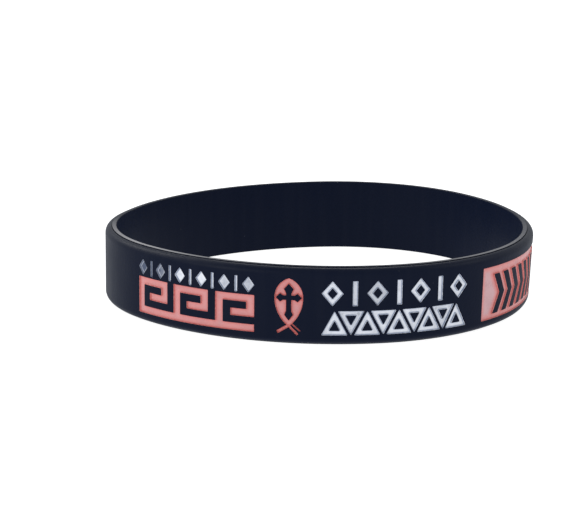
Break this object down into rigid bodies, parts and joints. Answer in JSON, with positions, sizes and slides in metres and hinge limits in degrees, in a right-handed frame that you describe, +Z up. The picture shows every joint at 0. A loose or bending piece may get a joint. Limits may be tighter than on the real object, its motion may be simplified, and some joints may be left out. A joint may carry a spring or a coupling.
{
  "type": "silicone wristband",
  "caption": "Closed loop of moulded silicone worn on the wrist, with rounded rims and figures sunk into its outer face and filled with white and coral ink.",
  "frame": {"origin": "bottom centre of the band's box, on the surface that the lower rim rests on", "axes": "+Z up along the wrist's axis, -Y the front with the fish and the middle rows, +X to the right as seen from the front"},
  "size_m": [0.0696, 0.0686, 0.012],
  "materials": {
    "silicone": "satin, moulded",
    "ink_white": "silvery white filled ink, soft gloss",
    "ink_coral": "coral filled ink, satin"
  },
  "bodies": {
    "root": {"band": "silicone", "bead_bar_ink_1": "ink_white", "bead_bar_ink_2": "ink_white", "bead_bar_ink_3": "ink_white", "bead_bar_ink_4": "ink_white", "bead_bar_ink_5": "ink_white", "bead_lozenge_ink_1": "ink_white", "bead_lozenge_ink_2": "ink_white", "bead_lozenge_ink_3": "ink_white", "bead_lozenge_ink_4": "ink_white", "bead_lozenge_ink_5": "ink_white", "bead_lozenge_ink_6": "ink_white", "fish_ink": "ink_coral", "key_ink": "ink_coral", "panel_ink": "ink_coral", "ring_bar_ink_1": "ink_white", "ring_bar_ink_2": "ink_white", "ring_bar_ink_3": "ink_white", "ring_lozenge_ink_1": "ink_white", "ring_lozenge_ink_2": "ink_white", "ring_lozenge_ink_3": "ink_white", "ring_lozenge_ink_4": "ink_white", "triangle_ink_1": "ink_white", "triangle_ink_2": "ink_white", "triangle_ink_3": "ink_white", "triangle_ink_4": "ink_white", "triangle_ink_5": "ink_white", "triangle_ink_6": "ink_white", "triangle_ink_7": "ink_white", "triangle_ink_8": "ink_white", "triangle_ink_9": "ink_white"}
  },
  "joints": []
}
